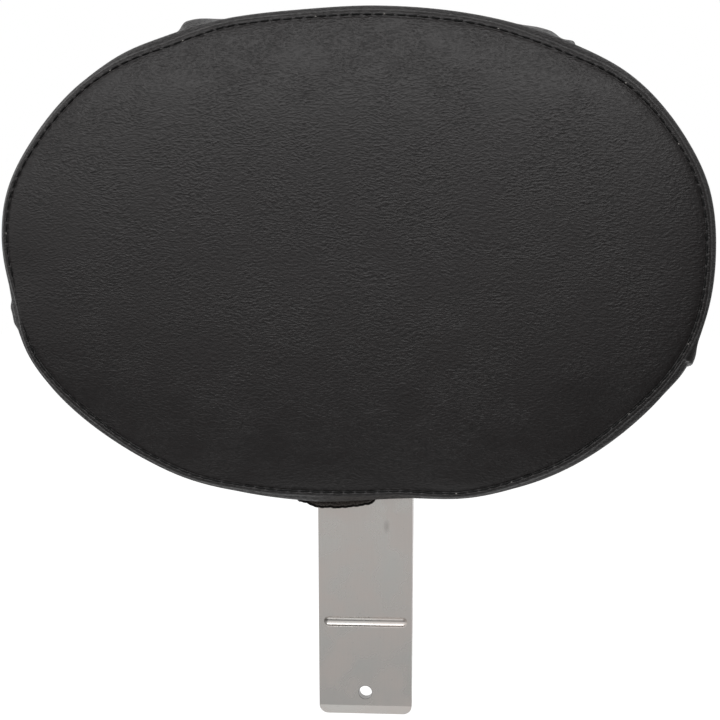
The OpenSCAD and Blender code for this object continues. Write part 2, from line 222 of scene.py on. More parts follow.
class SeamSizes(bpy.types.PropertyGroup):
    """The thread of the top-stitched seam."""

    pitch: length("Pitch", 5.1 * MM, "Distance from one stitch to the next")
    stitch: length("Stitch", 4.1 * MM, "Length of the thread that shows in a stitch")
    thread: length("Thread", 0.78 * MM, "Thickness of the thread")


class BladeSizes(bpy.types.PropertyGroup):
    """The finish of the flat steel bar."""

    edge: length("Edge", 0.35 * MM, "Radius worn on the bar's edges")
    hole_z: length("Hole", 11 * MM, "Height of the retaining hole above the tip")
    hole_radius: length("Hole radius", 3.175 * MM, "Radius of the retaining hole")


class Finishes(bpy.types.PropertyGroup):
    """The colours of the backrest."""

    vinyl: colour("Vinyl", (0.0128, 0.0105, 0.0105), "Black upholstery vinyl")
    backing: colour("Backing", (0.016, 0.014, 0.013), "Raw cut edge and cloth backing of the vinyl")
    thread: colour("Thread", (0.004, 0.004, 0.004), "Seam thread")
    steel: colour("Steel", (0.76, 0.73, 0.70), "Bright plated steel bar")
    zinc: colour("Zinc", (0.52, 0.53, 0.55), "Zinc plated fasteners")
    foam: colour("Foam", (0.66, 0.58, 0.40), "Seat foam")
    plywood: colour("Plywood", (0.50, 0.33, 0.17), "Plywood board")
    hardboard: colour("Hardboard", (0.20, 0.12, 0.065), "Rear panel board")
    nylon: colour("Nylon", (0.012, 0.012, 0.013), "Trim clips")


class StageSizes(bpy.types.PropertyGroup):
    """The camera, the lights and the floor."""

    azimuth: amount("Azimuth", math.radians(4.88), "Camera to the right", subtype="ANGLE")
    elevation: amount("Elevation", math.radians(4.3), "Camera above the level", subtype="ANGLE")
    distance: length("Distance", 818 * MM, "From the camera to the point it looks at")
    target: bpy.props.FloatVectorProperty(
        name="Target",
        default=(-0.83 * MM, -24 * MM, 173.4 * MM),
        description="The point that the camera looks at",
        subtype="TRANSLATION",
        size=3,
    )
    lens: amount("Lens", 88.15, "Focal length in millimetres")
    floor_z: length("Floor", -0.25, "Height of the floor, well under the blade's tip")
    key: amount("Key", 11.0, "Power of the overhead light in watts")
    card: amount("Card", 0.01, "Power of the low light in watts")
    ceiling: amount("Ceiling", 0.8, "Strength of the room's upper walls")
    floor_light: amount("Floor light", 0.68, "Strength of the room straight below")
    backdrop: amount("Backdrop", 0.9, "Strength of the room behind the backrest")
    ground: amount("Ground", 0.02, "Strength of the room's lower walls")
    floor_glow: amount("Floor glow", 0.7, "Glow of the floor that the camera sees")


def settings(name):
    """One of the scene's groups of sizes."""
    return getattr(bpy.context.scene, "backrest_" + name)


def middle_x():
    """The pad's middle, which the rear panel gives."""
    return (PANEL_LOW[0] + PANEL_HIGH[0]) / 2


def bump(angle, place, before, after):
    """One at its place, easing to nothing at its reach before and after it, in degrees."""
    turn = (angle - place + 180) % 360 - 180
    share = np.where(turn < 0, -turn / before, turn / after)
    return np.where(share < 1, (1 + np.cos(np.pi * np.minimum(share, 1))) / 2, 0)


def smooth(low, high, x):
    """Eases from 0 at low to 1 at high."""
    share = np.clip((x - low) / (high - low), 0, 1)
    return share * share * (3 - 2 * share)


def reach(turn, inset):
    """Distance from the pad's middle to the outline drawn in by inset, where turn is 1 once round."""
    pad = settings("pad")
    angle = 2 * np.pi * turn
    side = (PANEL_HIGH[0] - PANEL_LOW[0]) / 2 + pad.panel_inset - inset
    rise = PANEL_HIGH[2] + pad.panel_inset - pad.widest_z
    tall = np.where(np.sin(angle) > 0, rise, pad.drop) - inset
    power = pad.squareness
    oval = (np.abs(np.cos(angle) / side) ** power + np.abs(np.sin(angle) / tall) ** power) ** (-1 / power)
    return oval + bumps(turn, UNEVEN)


def bumps(turn, places):
    """The sum of even bumps round the pad."""
    return sum(height * MM * bump(360 * turn, place, wide, wide) for place, wide, height in places)


def ripple(turn, waves):
    """The sum of even waves round the pad."""
    return sum(height * MM * np.sin(2 * np.pi * count * turn + phase) for count, height, phase in waves)


def seam_reach(turn, inset):
    """Distance from the pad's middle to a line along the seam, which strays a little."""
    return reach(turn, inset) + bumps(turn, WANDER)


def on_ring(turn, radius, depth):
    """Points at a distance from the pad's middle, at a depth."""
    angle = 2 * np.pi * turn
    x = middle_x() + radius * np.cos(angle)
    z = settings("pad").widest_z + radius * np.sin(angle)
    return x, depth + 0 * x, z


def seam_run():
    """Turns round the seam, and the count of stitches up to each."""
    pad = settings("pad")
    turn = np.linspace(0, 1, 4001)
    x, _, z = on_ring(turn, seam_reach(turn, pad.seam_inset), 0)
    run = np.concatenate([[0], np.cumsum(np.hypot(np.diff(x), np.diff(z)))])
    return turn, run / run[-1] * round(run[-1] / settings("seam").pitch)


def stitch_count(turn):
    """Count of stitches, with its part of the next, up to a turn."""
    return np.interp(turn % 1, *seam_run())


def span(across, start, end):
    """Goes from 0 to 1 over a stretch of a strip."""
    return np.clip((across - start) / (end - start), 0, 1)


def select_only(*pieces):
    """Deselects everything else and makes the first piece active."""
    bpy.ops.object.select_all(action="DESELECT")
    for piece in pieces:
        piece.select_set(True)
    bpy.context.view_layer.objects.active = pieces[0]


def duplicate(piece):
    """A copy of a piece with a mesh of its own."""
    copy = piece.copy()
    copy.data = piece.data.copy()
    bpy.context.collection.objects.link(copy)
    return copy


def edit(piece, *steps):
    """Runs steps on the whole of a piece's mesh."""
    select_only(piece)
    bpy.ops.object.mode_set(mode="EDIT")
    bpy.ops.mesh.select_all(action="SELECT")
    for step in steps:
        step()
    bpy.ops.object.mode_set(mode="OBJECT")


def strip(name, around, across):
    """A flat strip one unit wide and high, cut into around by across faces."""
    bpy.ops.object.select_all(action="DESELECT")
    bpy.ops.mesh.primitive_grid_add(x_subdivisions=around, y_subdivisions=across, size=1)
    piece = bpy.context.active_object
    piece.name = piece.data.name = name
    edit(piece, lambda: bpy.ops.transform.translate(value=(0.5, 0.5, 0)))
    return piece


def points(piece):
    """The piece's points as rows of x, y and z."""
    co = np.empty(len(piece.data.vertices) * 3)
    piece.data.vertices.foreach_get("co", co)
    return co.reshape(-1, 3)


def put(piece, co):
    """Moves the piece's points."""
    piece.data.vertices.foreach_set("co", np.ascontiguousarray(co).ravel())
    piece.data.update()


def join_points():
    """Joins the points that lie on each other."""
    bpy.ops.mesh.remove_doubles(threshold=WELD)


def weld(piece):
    """Sews the edges of a wrapped strip together and turns its faces outwards."""
    edit(piece, join_points, lambda: bpy.ops.mesh.normals_make_consistent(inside=False))


def wrap(piece, place):
    """Wraps a flat strip: place gives each point's x, y and z from its share around and across."""
    flat = points(piece)
    put(piece, np.column_stack(place(flat[:, 0], flat[:, 1])))
    weld(piece)
    return piece


def face_outwards(piece, outwards):
    """Turns an open sheet's faces so that most look the way that outwards gives at their middle."""
    mesh = piece.data
    normals = np.array([face.normal for face in mesh.polygons])
    middles = np.array([face.center for face in mesh.polygons])
    if (normals * outwards(middles)).sum() < 0:
        edit(piece, lambda: bpy.ops.mesh.flip_normals())


def apply(piece, kind, **values):
    """Adds a modifier, sets it and applies it."""
    select_only(piece)
    modifier = piece.modifiers.new(kind.lower(), kind)
    for name, value in values.items():
        setattr(modifier, name, value)
    bpy.ops.object.modifier_apply(modifier=modifier.name)


def thicken(piece, thickness):
    """Gives a sheet its thickness on its inner side. Its cut edges take the second material."""
    apply(piece, "SOLIDIFY", thickness=thickness, offset=-1, use_even_offset=True, material_offset_rim=1)


def dress(piece, *materials):
    """Gives a piece its materials."""
    piece.data.materials.clear()
    for material in materials:
        piece.data.materials.append(material)


def finish_piece(piece, slot, *replaced):
    """Smooths a piece, gives it its body and hides the nodes that it stands for. Its slot is not used."""
    select_only(piece)
    bpy.ops.object.shade_smooth()
    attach(piece, BODY)
    if replaced:
        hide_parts(*replaced)


def crown(share):
    """Swell of the front at a share of the way from the middle to the seam."""
    return settings("pad").swell * np.maximum(0, 1 - share**CROWN_FLAT) ** CROWN_STEEP


def inflate(piece, pressure, cap, frames=20):
    """Blows a pinned sheet up as foam does under a sewn cover, and caps how far a point may move."""
    start = points(piece)
    select_only(piece)
    bpy.ops.object.mode_set(mode="EDIT")
    bpy.ops.mesh.select_all(action="DESELECT")
    bpy.ops.mesh.select_mode(type="VERT")
    bpy.ops.mesh.select_non_manifold()
    bpy.ops.object.vertex_group_add()
    bpy.ops.object.vertex_group_assign()
    bpy.ops.object.mode_set(mode="OBJECT")
    cloth = piece.modifiers.new("cover", "CLOTH")
    cloth.settings.quality = 8
    cloth.settings.mass = 0.4
    cloth.settings.tension_stiffness = 25
    cloth.settings.compression_stiffness = 25
    cloth.settings.shear_stiffness = 12
    cloth.settings.bending_stiffness = 6
    cloth.settings.use_pressure = True
    cloth.settings.uniform_pressure_force = pressure
    cloth.settings.vertex_group_mass = piece.vertex_groups[0].name
    cloth.settings.effector_weights.gravity = 0
    cloth.collision_settings.use_collision = False
    scene = bpy.context.scene
    for frame_number in range(1, frames + 1):
        scene.frame_set(frame_number)
    bpy.ops.object.modifier_apply(modifier=cloth.name)
    scene.frame_set(1)
    moved = points(piece) - start
    far = np.linalg.norm(moved, axis=1, keepdims=True)
    put(piece, start + moved * np.minimum(1, cap / np.maximum(far, 1e-9)))
    piece.vertex_groups.clear()


def seam_valley(turn):
    """Depth of the valley that the stitches pull in: shallow along the top and deep along the bottom."""
    shallow, deep = VALLEY
    return shallow + (deep - shallow) * smooth(0.35, -0.35, np.sin(2 * np.pi * turn))


def front_place(turn, across):
    """The front panel: from its middle out to the stitches, where its edge rolls down into their valley."""
    pad = settings("pad")
    valley = seam_valley(turn)
    wide = valley + ROLL_EXTRA
    share = np.sin(span(across, 0, PANEL_ROLL) * np.pi / 2)
    roll = span(across, PANEL_ROLL, 1)
    over = bumps(turn, OVERHANG) * smooth(0.92, 1, share)
    radius = share * (seam_reach(turn, pad.seam_inset + PANEL_GAP) - wide) + over * (1 - roll)
    radius = radius + wide * np.sin(roll * np.pi / 2)
    depth = pad.seam_y - UNBLOWN * crown(share) + valley * (1 - np.cos(roll * np.pi / 2))
    return on_ring(turn, radius, depth)


def lip_place(turn, across):
    """The folded lip: from under the panel's edge, through the stitches' valley and over to the band."""
    pad = settings("pad")
    rows = np.arange(len(LIP))
    outwards, behind = (MM * np.interp(across * rows[-1], rows, side) for side in zip(*LIP))
    near = np.exp(-((outwards / (1.3 * MM)) ** 2))
    sunk = np.exp(-(((outwards + VALLEY_INSET) / VALLEY_WIDTH) ** 2))
    behind = behind + pad.pucker * near * np.cos(2 * np.pi * stitch_count(turn))
    behind = behind + (seam_valley(turn) - VALLEY[0]) * sunk
    waver = ripple(turn, WAVERS) * smooth(0, 2 * MM, outwards)
    return on_ring(turn, seam_reach(turn, pad.seam_inset) + outwards + waver, pad.seam_y + behind)


def band_inset(depth):
    """How far the band is drawn in at a depth, with the ridges that the seam's hem makes in it."""
    pad = settings("pad")
    front, rear = pad.seam_y + 1 * MM, band_rear()
    ahead = (pad.bulge_y - depth) / (pad.bulge_y - front)
    aback = (depth - pad.bulge_y) / (rear - pad.bulge_y)
    share = np.where(depth < pad.bulge_y, ahead, aback)
    draw = pad.band_draw * np.abs(share) ** 2.2
    for ridge, wide, high in RIDGES:
        draw = draw - high * MM * np.exp(-(((depth - ridge * MM) / (wide * MM)) ** 2))
    return draw


def band_rear():
    """Depth at which the band starts to fold round the board."""
    return BLADE_HIGH[1] + BLADE_GAP + settings("pad").vinyl - settings("pad").fold_radius


def fold_height(turn, depth):
    """Height of the band's folds and small gathers."""
    degrees = 360 * turn
    height = 0
    for place, before, after, high, start, full in FOLDS:
        along = smooth(start * MM, full * MM, depth)
        along = along - DIP * np.exp(-(((depth - start * MM) / DIP_LENGTH) ** 2))
        height = height + high * MM * along * bump(degrees, place, before, after)
    rearward = smooth(-34 * MM, 0, depth) + 2 * smooth(-14 * MM, 2 * MM, depth)
    return height + ripple(turn, GATHERS) * rearward


def band_place(turn, across):
    """The side band: from behind the lip over its bulge, round the board's edge and in along the hem."""
    pad = settings("pad")
    rear = band_rear()
    insets, depths = (MM * np.array(side) for side in zip(*BAND_EDGE))
    start = depths[-1]
    rows = np.arange(len(insets))
    edge = span(across, 0, BAND_SIDE) * rows[-1]
    on_edge = across < BAND_SIDE
    level = start + (rear - start) * span(across, BAND_SIDE, BAND_FOLD)
    fold = span(across, BAND_FOLD, BAND_HEM)
    depth = level + pad.fold_radius * np.sin(fold * np.pi / 2)
    inset = band_inset(level) + pad.fold_radius * (1 - np.cos(fold * np.pi / 2))
    inset = inset + (pad.hem_inset - pad.band_draw - pad.fold_radius) * span(across, BAND_HEM, 1)
    depth = np.where(on_edge, np.interp(edge, rows, depths), depth)
    inset = np.where(on_edge, np.interp(edge, rows, insets), inset)
    place, half, shift = LAP
    off = ((360 * turn - place + LAP_SLANT * (depth - LAP_START) + 180) % 360 - 180) / half
    lapped = smooth(LAP_START, LAP_FULL, depth) * (1 - smooth(0, 1, fold))
    height = fold_height(turn, depth) * (1 - smooth(0, 1, fold))
    height = height + LAP_STEP * lapped * (smooth(-0.35, 0.35, off) - 0.5) * np.exp(-((off / 3) ** 2))
    turn = turn - lapped * shift / 360 * off * np.exp(-(off**2))
    radius = reach(turn, inset) + bumps(turn, WANDER) * (1 - smooth(start, -33 * MM, depth))
    return on_ring(turn, radius + height, depth)


def foam_place(turn, across):
    """The foam under the cover: crowned in front, bulged at its sides and flat on the board."""
    pad = settings("pad")
    under = pad.vinyl + FOAM_GAP
    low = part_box("foam_pad")[1][1]
    side = span(across, FOAM_SIDE, FOAM_BACK)
    share = np.sin(span(across, 0, FOAM_SIDE) * np.pi / 2)
    start = pad.seam_y + 3 * MM
    depth = start + (low - start) * side
    radius = share * reach(turn, np.where(side > 0, band_inset(depth), pad.seam_inset) + under)
    depth = np.where(across < FOAM_SIDE, pad.seam_y + under - FOAM_CROWN * crown(share), depth)
    return on_ring(turn, radius * (1 - span(across, FOAM_BACK, 1)), depth)


def rear_place(turn, across):
    """The rear panel's cover: a little padded, rounded over the panel's edge, with its hem in front."""
    pad = settings("pad")
    low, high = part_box("rear_panel_cover")
    inset = pad.panel_inset - 1.4 * MM
    radius, hem, puff = 2.2 * MM, 16 * MM, 1.2 * MM
    share = np.sin(span(across, 0, REAR_ROLL) * np.pi / 2)
    roll = span(across, REAR_ROLL, REAR_EDGE) * np.pi / 2
    drawn = inset + radius * (1 - np.sin(roll)) + hem * span(across, REAR_HEM, 1)
    depth = high[1] - radius * (1 - np.cos(roll))
    depth = depth - (high[1] - radius - low[1]) * span(across, REAR_EDGE, REAR_HEM)
    depth = depth + puff * np.maximum(0, 1 - share**4) * (across < REAR_ROLL)
    return on_ring(turn, share * reach(turn, drawn), depth)


class Tree:
    """Builds a node tree in a few words a node."""

    def __init__(self, tree):
        self.tree = tree

    def feed(self, node, values):
        """Sets or links a node's inputs by name or number."""
        for key, value in values.items():
            socket = node.inputs[key]
            if isinstance(value, bpy.types.NodeSocket):
                self.tree.links.new(value, socket)
            else:
                socket.default_value = value

    def add(self, kind, values=None, **options):
        """A node with its options, and its inputs set or linked."""
        node = self.tree.nodes.new(kind)
        for name, value in options.items():
            setattr(node, name, value)
        self.feed(node, values or {})
        return node

    def math(self, operation, first, second=0.0):
        """A Math node's result."""
        return self.add("ShaderNodeMath", {0: first, 1: second}, operation=operation).outputs[0]

    def mix(self, share, first, second):
        """Two colours mixed."""
        node = self.add("ShaderNodeMix", {0: share, 6: first, 7: second}, data_type="RGBA")
        return node.outputs[2]

    def stretch(self, vector, scale):
        """A vector scaled along each axis."""
        return self.add("ShaderNodeMapping", {"Vector": vector, "Scale": scale}).outputs[0]

    def shift(self, vector, scale, far):
        """A vector pushed about by noise, up to far."""
        values = {"Vector": vector, "Scale": scale, "Detail": 1.0}
        push = self.add("ShaderNodeTexNoise", values).outputs[1]
        middle = (0.5, 0.5, 0.5)
        push = self.add("ShaderNodeVectorMath", {0: push, 1: middle}, operation="SUBTRACT").outputs[0]
        push = self.add("ShaderNodeVectorMath", {0: push, "Scale": 2 * far}, operation="SCALE").outputs[0]
        return self.add("ShaderNodeVectorMath", {0: vector, 1: push}, operation="ADD").outputs[0]

    def noise(self, vector, scale, detail=3.0, rough=0.5):
        """A noise value."""
        values = {"Vector": vector, "Scale": scale, "Detail": detail, "Roughness": rough}
        return self.add("ShaderNodeTexNoise", values).outputs[0]

    def ramp(self, value, low, high, first=0.0, second=1.0):
        """A value mapped from low..high to first..second, smoothly."""
        values = {"Value": value, "From Min": low, "From Max": high, "To Min": first, "To Max": second}
        return self.add("ShaderNodeMapRange", values, interpolation_type="SMOOTHSTEP").outputs[0]


def group(name, outputs):
    """A shader node group that turns coordinates into plain values."""
    tree = bpy.data.node_groups.new(name, "ShaderNodeTree")
    tree.interface.new_socket(name="Vector", in_out="INPUT", socket_type="NodeSocketVector")
    for label in outputs:
        tree.interface.new_socket(name=label, in_out="OUTPUT", socket_type="NodeSocketFloat")
    return tree


def leather_grain():
    """Group: the wrinkled grain of upholstery vinyl, in coordinates of metres. Its crease mask darkens the
    troughs as painted shade.
    """
    tree = group("leather_grain", ("Height", "PaintedCreaseShade", "Tone"))
    build = Tree(tree)
    vector = build.add("NodeGroupInput").outputs["Vector"]
    bent = build.shift(build.shift(vector, 55.0, 2.4 * MM), 330.0, 0.5 * MM)
    folds = build.noise(build.stretch(bent, (520.0, 520.0, 1250.0)), 1.0, 2.0, 0.5)
    # Crease mask: 0 in the wrinkles' troughs, where the vinyl's colour is darkened as painted shade
    crease_shade = build.ramp(folds, 0.37, 0.5)
    cells = build.add(
        "ShaderNodeTexVoronoi",
        {"Vector": build.stretch(bent, (0.75, 0.75, 1.2)), "Scale": 900.0},
        feature="SMOOTH_F1",
    ).outputs["Distance"]
    fine = build.noise(bent, 2300.0, 2.0, 0.6)
    patches = build.ramp(build.noise(vector, 48.0, 2.0, 0.5), 0.36, 0.62, 0.55, 1.0)
    wrinkles = build.math("MULTIPLY", build.math("SUBTRACT", folds, 0.5), patches)
    height = build.math("ADD", wrinkles, build.math("MULTIPLY", cells, -0.16))
    height = build.math("ADD", height, build.math("MULTIPLY", fine, 0.10))
    shallow = build.math("SUBTRACT", 1.0, patches)
    crease_shade = build.math("MAXIMUM", crease_shade, shallow)
    tone = build.noise(vector, 11.0, 3.0, 0.55)
    build.add("NodeGroupOutput", {"Height": height, "PaintedCreaseShade": crease_shade, "Tone": tone})
    return tree


def surface_wear():
    """Group: soft blotches and fine scratches for metal. Scratch and blotch are masks from 0 to 1."""
    tree = group("surface_wear", ("Blotch", "Scratch", "Speck"))
    build = Tree(tree)
    vector = build.add("NodeGroupInput").outputs["Vector"]
    blotch = build.ramp(build.noise(vector, 60.0, 3.0, 0.5), 0.3, 0.7)
    fine = build.stretch(vector, (1.0, 1.0, 0.03))
    scratch = build.ramp(build.noise(fine, 2600.0, 3.0, 0.7), 0.45, 0.75)
    speck = build.ramp(build.noise(vector, 900.0, 1.0, 0.5), 0.70, 0.78)
    build.add("NodeGroupOutput", {"Blotch": blotch, "Scratch": scratch, "Speck": speck})
    return tree


def shared(make):
    """A node group, built once."""
    return bpy.data.node_groups.get(make.__name__) or make()


def rgba(values, gain=1.0):
    """A colour with its alpha, brightened by gain."""
    return (*[min(1.0, gain * value) for value in values], 1.0)


def empty_tree(owner):
    """The builder of a material's or a world's node tree, which is emptied."""
    owner.use_nodes = True
    owner.node_tree.nodes.clear()
    return Tree(owner.node_tree)


def new_material(name):
    """A material, its builder, its shader and the object's own coordinates."""
    material = bpy.data.materials.new(name)
    build = empty_tree(material)
    shader = build.add("ShaderNodeBsdfPrincipled")
    build.add("ShaderNodeOutputMaterial", {"Surface": shader.outputs[0]})
    return material, build, shader, build.add("ShaderNodeTexCoord").outputs["Object"]


def bumped(build, height, distance, strength):
    """A normal that a height bumps."""
    values = {"Height": height, "Distance": distance, "Strength": strength}
    return build.add("ShaderNodeBump", values).outputs[0]


def vinyl_material(name, gain=1.0):
    """Grained black vinyl, darkened in the grain's creases as painted shade."""
    material, build, shader, place = new_material(name)
    base = settings("finish").vinyl
    grain = build.add("ShaderNodeGroup", {"Vector": place}, node_tree=shared(leather_grain)).outputs
    tone = build.mix(grain["Tone"], rgba(base, 0.88 * gain), rgba(base, 1.12 * gain))
    build.feed(shader, {
        # Painted shade: the base colour is halved in the grain's creases
        "Base Color": build.mix(grain["PaintedCreaseShade"], rgba(base, 0.5 * gain), tone),
        "Roughness": build.ramp(grain["Height"], -0.2, 0.1, 0.54, 0.36),
        "Specular IOR Level": 0.48,
        "Normal": bumped(build, grain["Height"], 0.54 * MM, 1.0),
    })
    return material


def raw_edge_material(name="raw_edge", gain=1.0):
    """The cut edge and cloth backing of the vinyl: rough, with loose fibres."""
    material, build, shader, place = new_material(name)
    base = settings("finish").backing
    fibre = build.noise(build.stretch(place, (1.0, 1.0, 0.35)), 1500.0, 4.0, 0.7)
    loose = build.ramp(fibre, 0.4, 0.75)
    build.feed(shader, {
        "Base Color": build.mix(loose, rgba(base, 0.5 * gain), rgba(base, 2.6 * gain)),
        "Roughness": 0.95,
        "Specular IOR Level": 0.15,
        "Normal": bumped(build, fibre, 0.5 * MM, 0.9),
    })
    return material


def thread_material():
    """Black bonded thread, with its twist."""
    material, build, shader, place = new_material("seam_thread")
    base = settings("finish").thread
    twist = build.noise(place, 2200.0, 2.0, 0.6)
    build.feed(shader, {
        "Base Color": build.mix(twist, rgba(base, 0.4), rgba(base, 2.2)),
        "Roughness": 0.55,
        "Specular IOR Level": 0.2,
        "Normal": bumped(build, twist, 0.12 * MM, 0.8),
    })
    return material


def lint_material():
    """Pale fibre in the needle holes."""
    material, build, shader, place = new_material("lint")
    fibre = build.noise(place, 3000.0, 2.0, 0.5)
    tone = build.mix(fibre, *(rgba(shade) for shade in LINT_SHADES))
    build.feed(shader, {"Base Color": tone, "Roughness": 0.9})
    return material


def blade_material():
    """The blade's plated steel, with painted shade on the wall of its retaining hole, and a handling mark."""
    sizes = settings("blade")
    base = settings("finish").steel
    material, build, shader, place = steel_material("plated_steel", base)
    tone = shader.inputs["Base Color"].links[0].from_socket
    x, _, z = build.add("ShaderNodeSeparateXYZ", {0: place}).outputs
    beside = build.math("POWER", x, 2.0)
    above = build.math("POWER", build.math("SUBTRACT", z, sizes.hole_z), 2.0)
    far = build.math("SQRT", build.math("ADD", beside, above))
    # Painted shade on the hole's wall: the steel is darkened there to stand in for the shade inside the hole
    hole_wall_shade = build.ramp(far, sizes.hole_radius + 0.05 * MM, sizes.hole_radius + 0.3 * MM, 1.0, 0.0)
    tone = build.mix(build.math("MULTIPLY", hole_wall_shade, 0.85), tone, rgba(base, 0.16))
    spot = (MARK_X, BLADE_LOW[1], MARK_Z)
    mark = build.add("ShaderNodeVectorMath", {0: place, 1: spot}, operation="SUBTRACT").outputs[0]
    mark = build.stretch(mark, (1.0, 1.0, 0.45))
    mark = build.add("ShaderNodeVectorMath", {0: mark}, operation="LENGTH").outputs["Value"]
    tone = build.mix(build.ramp(mark, 0.2 * MM, 2.0 * MM, 0.3, 0.0), tone, rgba(base, 0.35))
    build.feed(shader, {"Base Color": tone})
    return material


def steel_material(name, base, rough=0.24):
    """Bright plated steel with faint blotches and a fine rolled grain, with its builder and shader."""
    material, build, shader, place = new_material(name)
    wear = build.add("ShaderNodeGroup", {"Vector": place}, node_tree=shared(surface_wear)).outputs
    warm = (base[0] * 1.03, base[1] * 0.99, base[2] * 0.975)
    cool = (base[0] * 0.98, base[1] * 1.0, base[2] * 1.0)
    tone = build.mix(wear["Blotch"], rgba(cool), rgba(warm))
    tone = build.mix(build.math("MULTIPLY", wear["Scratch"], 0.10), tone, rgba(base, 0.72))
    build.feed(shader, {
        "Base Color": build.mix(build.math("MULTIPLY", wear["Speck"], 0.25), tone, rgba(base, 0.5)),
        "Metallic": 1.0,
        "Roughness": build.ramp(wear["Blotch"], 0.0, 1.0, rough, rough + 0.08),
        "Normal": bumped(build, wear["Scratch"], 0.01 * MM, 0.3),
    })
    return material, build, shader, place


def wood_material(name, base, ply=0.0):
    """Bare board: plywood with its layers if ply is their thickness, else fibrous hardboard."""
    material, build, shader, place = new_material(name)
    grain = build.noise(build.stretch(place, (0.08, 1.0, 1.0)), 700.0, 4.0, 0.6)
    tone = build.mix(grain, rgba(base, 0.7), rgba(base, 1.2))
    if ply:
        depth = build.add("ShaderNodeSeparateXYZ", {0: place}).outputs["Y"]
        layer = build.math("FRACT", build.math("DIVIDE", depth, 2 * ply))
        tone = build.mix(build.math("GREATER_THAN", layer, 0.5), tone, rgba(base, 0.72))
    normal = bumped(build, grain, 0.15 * MM, 0.5)
    build.feed(shader, {"Base Color": tone, "Roughness": 0.8, "Normal": normal})
    return material


def foam_material():
    """Open-cell seat foam."""
    material, build, shader, place = new_material("seat_foam")
    base = settings("finish").foam
    cells = build.add("ShaderNodeTexVoronoi", {"Vector": place, "Scale": 1100.0}).outputs["Distance"]
    tone = build.mix(build.ramp(cells, 0.1, 0.7), rgba(base, 0.55), rgba(base, 1.1))
    normal = bumped(build, cells, 0.5 * MM, 0.8)
    build.feed(shader, {"Base Color": tone, "Roughness": 0.95, "Normal": normal})
    return material


def nylon_material():
    """Black moulded nylon with a fine spark texture."""
    material, build, shader, place = new_material("moulded_nylon")
    base = settings("finish").nylon
    texture = build.noise(place, 1800.0, 2.0, 0.5)
    tone = build.mix(texture, rgba(base, 0.8), rgba(base, 1.3))
    normal = bumped(build, texture, 0.05 * MM, 0.4)
    build.feed(shader, {"Base Color": tone, "Roughness": 0.5, "Normal": normal})
    return material


class BACKREST_OT_front_cover(bpy.types.Operator):
    """Sews the padded front panel and its folded lip"""

    bl_idname = "backrest.front_cover"
    bl_label = "Front cover"

    def execute(self, context):
        pad = settings("pad")
        panel = wrap(strip("front_cover_vinyl", around=96, across=20), front_place)
        face_outwards(panel, lambda middles: np.array([0, -1, 0]))
        inflate(panel, pad.pressure, cap=5 * MM)
        apply(panel, "SUBSURF", levels=2, render_levels=2)
        lip = wrap(strip("lip", around=1024, across=len(LIP) - 1), lip_place)
        face_outwards(lip, lambda middles: np.array([0, -1, 0]))
        apply(lip, "SUBSURF", levels=1, render_levels=1)
        vinyl = vinyl_material("cover_vinyl")
        dress(panel, vinyl, raw_edge_material())
        dress(lip, vinyl)
        thicken(panel, pad.vinyl)
        select_only(panel, lip)
        bpy.ops.object.join()
        finish_piece(panel, "vinyl", "front_cover")
        return {"FINISHED"}


class BACKREST_OT_side_band(bpy.types.Operator):
    """Pulls the pleated side band round the pad and slits it at the blade"""

    bl_idname = "backrest.side_band"
    bl_label = "Side band"

    def execute(self, context):
        pad = settings("pad")
        band = wrap(strip("side_band_vinyl", around=960, across=48), band_place)
        centre = np.array([middle_x(), pad.bulge_y * 0.5, pad.widest_z])
        face_outwards(band, lambda middles: middles - centre)
        half = BLADE_HIGH[0] + BLADE_GAP
        front = BLADE_LOW[1] - BLADE_GAP
        select_only(band)
        bpy.ops.object.mode_set(mode="EDIT")
        bpy.ops.mesh.select_mode(type="FACE")
        bpy.ops.mesh.select_all(action="DESELECT")
        bpy.ops.object.mode_set(mode="OBJECT")
        for face in band.data.polygons:
            x, y, z = face.center
            face.select = abs(x) < half and y > front and z < pad.widest_z
        bpy.ops.object.mode_set(mode="EDIT")
        bpy.ops.mesh.delete(type="FACE")
        bpy.ops.object.mode_set(mode="OBJECT")
        dress(band, vinyl_material("band_vinyl", gain=1.05), raw_edge_material())
        thicken(band, pad.vinyl)
        finish_piece(band, "vinyl", "side_band")
        return {"FINISHED"}


class BACKREST_OT_raw_flap(bpy.types.Operator):
    """Leaves the raw flap of vinyl in front of the blade"""

    bl_idname = "backrest.raw_flap"
    bl_label = "Raw flap"

    def execute(self, context):
        pad = settings("pad")
        left, wide, drop, rise = -31.5 * MM, 36 * MM, 4.6 * MM, 5 * MM
        front, curl, wave = -4.6 * MM, 7.5 * MM, 0.6 * MM
        bottom = pad.widest_z - pad.drop
        places, drops = zip(*FLAP_EDGE)

        def place(along, down):
            torn = 0.22 * MM * np.sin(31 * along + 1) * np.sin(11 * along) + 0.1 * MM * np.sin(83 * along)
            low = drop * np.interp(along, places, drops) + torn
            x = left + wide * along
            z = bottom + rise - (rise + low) * down
            y = front - curl * down**5 - wave * np.sin(7 * along + 0.5) * down
            return x, y, z

        flap = wrap(strip("raw_flap", around=120, across=14), place)
        face_outwards(flap, lambda middles: np.array([0, -1, 0]))
        # The flap's cloth backing is brightened twenty times: painted light on a flap that hangs in the pad's
        # shade
        dress(flap, raw_edge_material("flap_backing_painted_light", gain=20.0), raw_edge_material())
        thicken(flap, pad.vinyl)
        finish_piece(flap, "vinyl")
        return {"FINISHED"}


